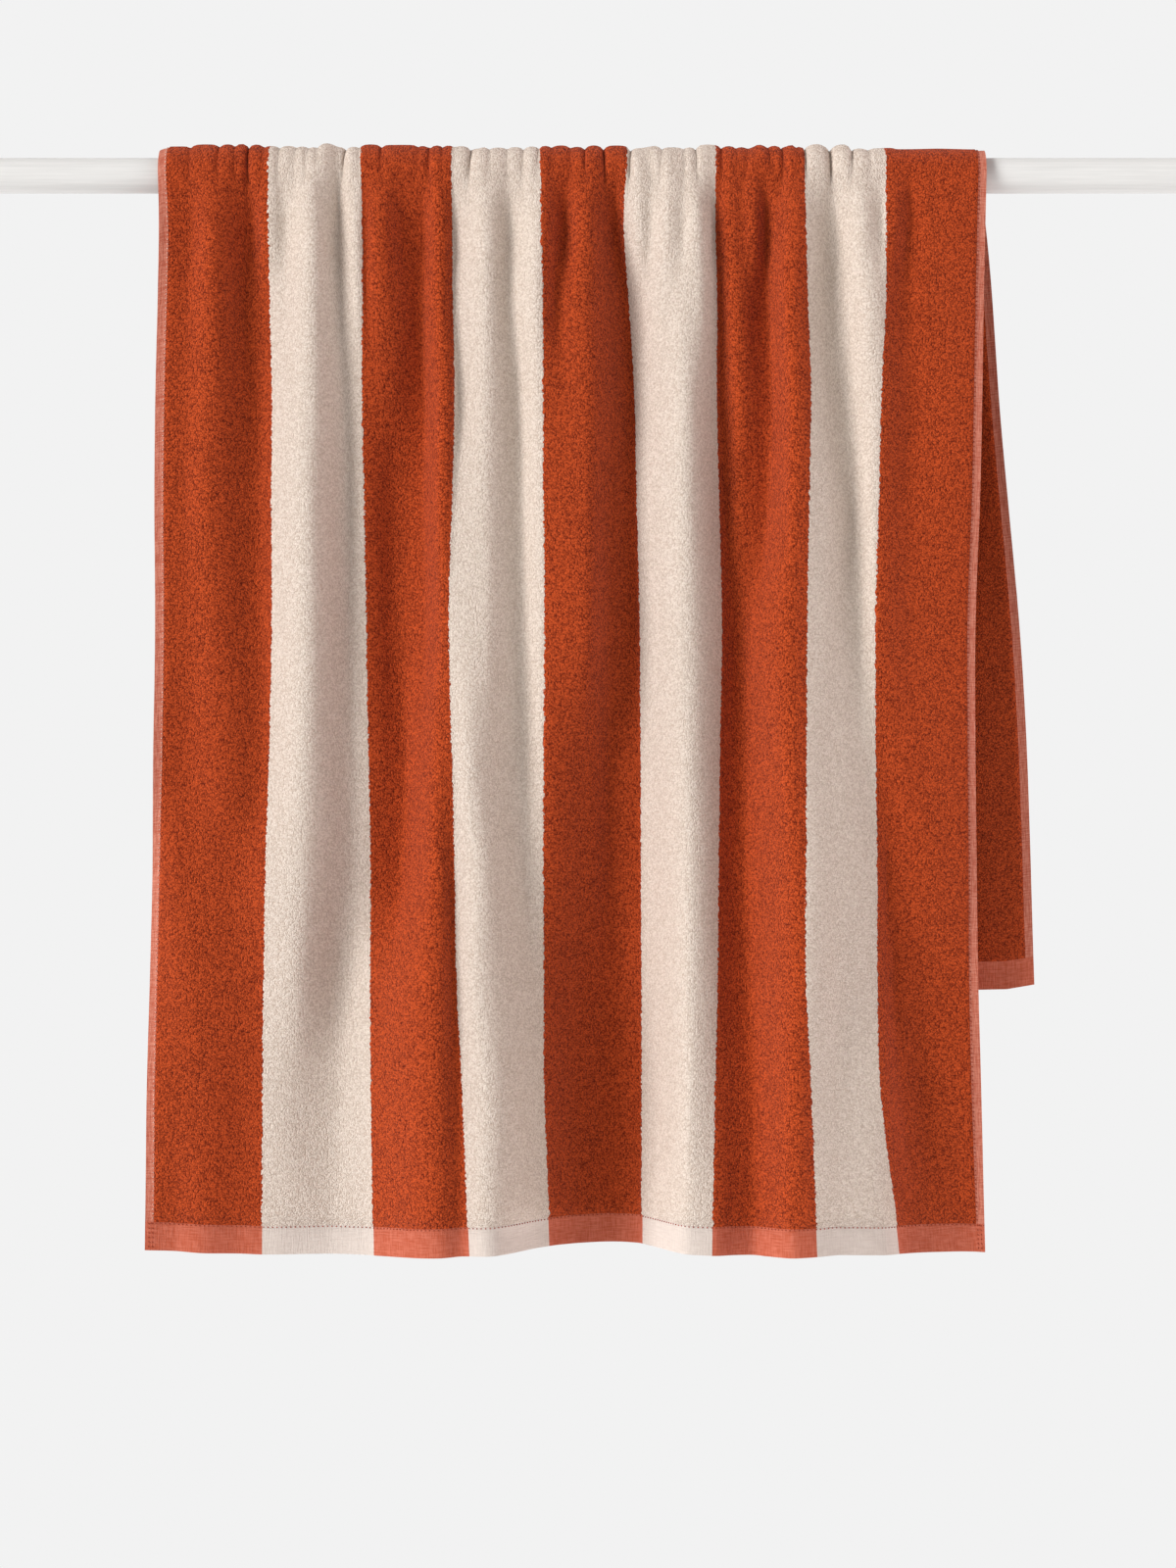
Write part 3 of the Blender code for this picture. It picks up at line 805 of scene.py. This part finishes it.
def make_stage():
    """A pale floor that shows as bright as the air behind it and lights nothing."""
    bpy.ops.object.select_all(action="DESELECT")
    bpy.ops.mesh.primitive_plane_add(size=FLOOR_SIZE, location=(ROD_MIDDLE, 0, FLOOR_LEVEL))
    floor = bpy.context.object
    floor.name = "floor"
    material, _, surface = blank_material("matt_pale_floor")
    feed(surface, {"Base Color": (0, 0, 0, 1), "Roughness": 1.0, "Specular IOR Level": 0.0,
                   "Emission Color": (AIR, AIR, AIR, 1), "Emission Strength": 1.0})
    floor.data.materials.append(material)
    floor.visible_diffuse = False


def make_air():
    """A white wall behind, a dimmer room in front and a warm white panel to the right.

    The camera sees the plain background instead.
    """
    world = bpy.data.worlds.new("studio_air")
    world.use_nodes = True
    tree = world.node_tree
    way = add(tree, "TexCoord").outputs["Generated"]
    parts = add(tree, "SeparateXYZ", {0: way})
    room = add(tree, "MapRange", {0: parts.outputs["Y"], 1: -ROOM_BLEND, 2: ROOM_BLEND,
                                  3: ROOM, 4: AIR}, interpolation_type="SMOOTHSTEP")
    tilt = add(tree, "MapRange", {0: parts.outputs["Z"], 1: -GROUND_RISE, 2: GROUND_RISE,
                                  3: GROUND, 4: CEILING})
    room = add(tree, "Math", {0: room, 1: tilt}, operation="MULTIPLY")
    aside = math.radians(PANEL_SIDE)
    near_panel = add(tree, "VectorMath", {0: way, 1: (math.sin(aside), -math.cos(aside), 0)},
                     operation="DOT_PRODUCT")
    panel_light = add(tree, "MapRange", {0: near_panel, 1: PANEL_FROM, 2: 1.0, 3: 0.0,
                                         4: PANEL}, interpolation_type="SMOOTHSTEP")
    warm = add(tree, "VectorMath", {0: linear(PANEL_TINT)[:3], "Scale": panel_light},
               operation="SCALE")
    total = add(tree, "VectorMath", {0: room, 1: warm}, operation="ADD")
    lit = add(tree, "Background", {"Color": total})
    seen = add(tree, "Background", {"Color": (AIR, AIR, AIR, 1)})
    from_camera = add(tree, "LightPath").outputs["Is Camera Ray"]
    sky = add(tree, "MixShader", {0: from_camera, 1: lit, 2: seen})
    feed(tree.nodes["World Output"], {"Surface": sky})
    bpy.context.scene.world = world


def make_key():
    """A broad soft key light from the upper left."""
    lamp = bpy.data.lights.new("key", "SUN")
    lamp.energy = KEY_STRENGTH
    lamp.angle = math.radians(KEY_SPREAD)
    key = bpy.data.objects.new("key", lamp)
    bpy.context.collection.objects.link(key)
    side, rise = math.radians(KEY_SIDE), math.radians(KEY_RISE)
    towards = Vector((-math.sin(side) * math.cos(rise), -math.cos(side) * math.cos(rise),
                      math.sin(rise)))
    key.rotation_mode = "QUATERNION"
    key.rotation_quaternion = towards.to_track_quat("Z", "Y")
    key.location = towards * VIEW_DISTANCE


def make_camera():
    """The picture's view: level, square on, with the rod near the top."""
    lens = bpy.data.cameras.new("camera")
    camera = bpy.data.objects.new("camera", lens)
    bpy.context.collection.objects.link(camera)
    lens.sensor_width = SENSOR
    lens.lens = SENSOR * VIEW_DISTANCE / (PICTURE_HEIGHT * PIXEL)
    below = (PICTURE_HEIGHT / 2 - ROD_ROW) * PIXEL
    camera.location = (ROD_MIDDLE, -VIEW_DISTANCE, -below)
    camera.rotation_euler = (math.pi / 2, 0, 0)
    bpy.context.scene.camera = camera


def dress_towel():
    """The towel's cloth and stitching, in place of its plain solid."""
    places = cloth_columns()
    rows = cloth_rows(places)
    along = flat_places(rows)
    cloth = make_cloth(places, rows, along)
    cloth.data.materials.append(terry_material())
    outward = np.cross(np.gradient(rows, axis=1), np.gradient(rows, axis=0))
    outward /= np.linalg.norm(outward, axis=2, keepdims=True)
    stitching = make_stitching((places, rows, along, outward))
    threads = (thread_material("rust", *RUST_THREAD_GROOVE_SHADE_TO_BACK), thread_material("pale", *PALE_THREAD_GROOVE_SHADE_TO_BACK))
    for piece, thread in zip(stitching, threads):
        piece.data.materials.append(thread)
        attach(piece, "root")
    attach(cloth, "root")
    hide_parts("towel")


def paint_rod():
    """The rod keeps its CAD mesh."""
    paint = paint_material()
    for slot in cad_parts["rod"].material_slots:
        slot.material = paint


bpy.context.scene.view_settings.view_transform = "Standard"
make_stage()
make_air()
make_key()
make_camera()
dress_towel()
paint_rod()
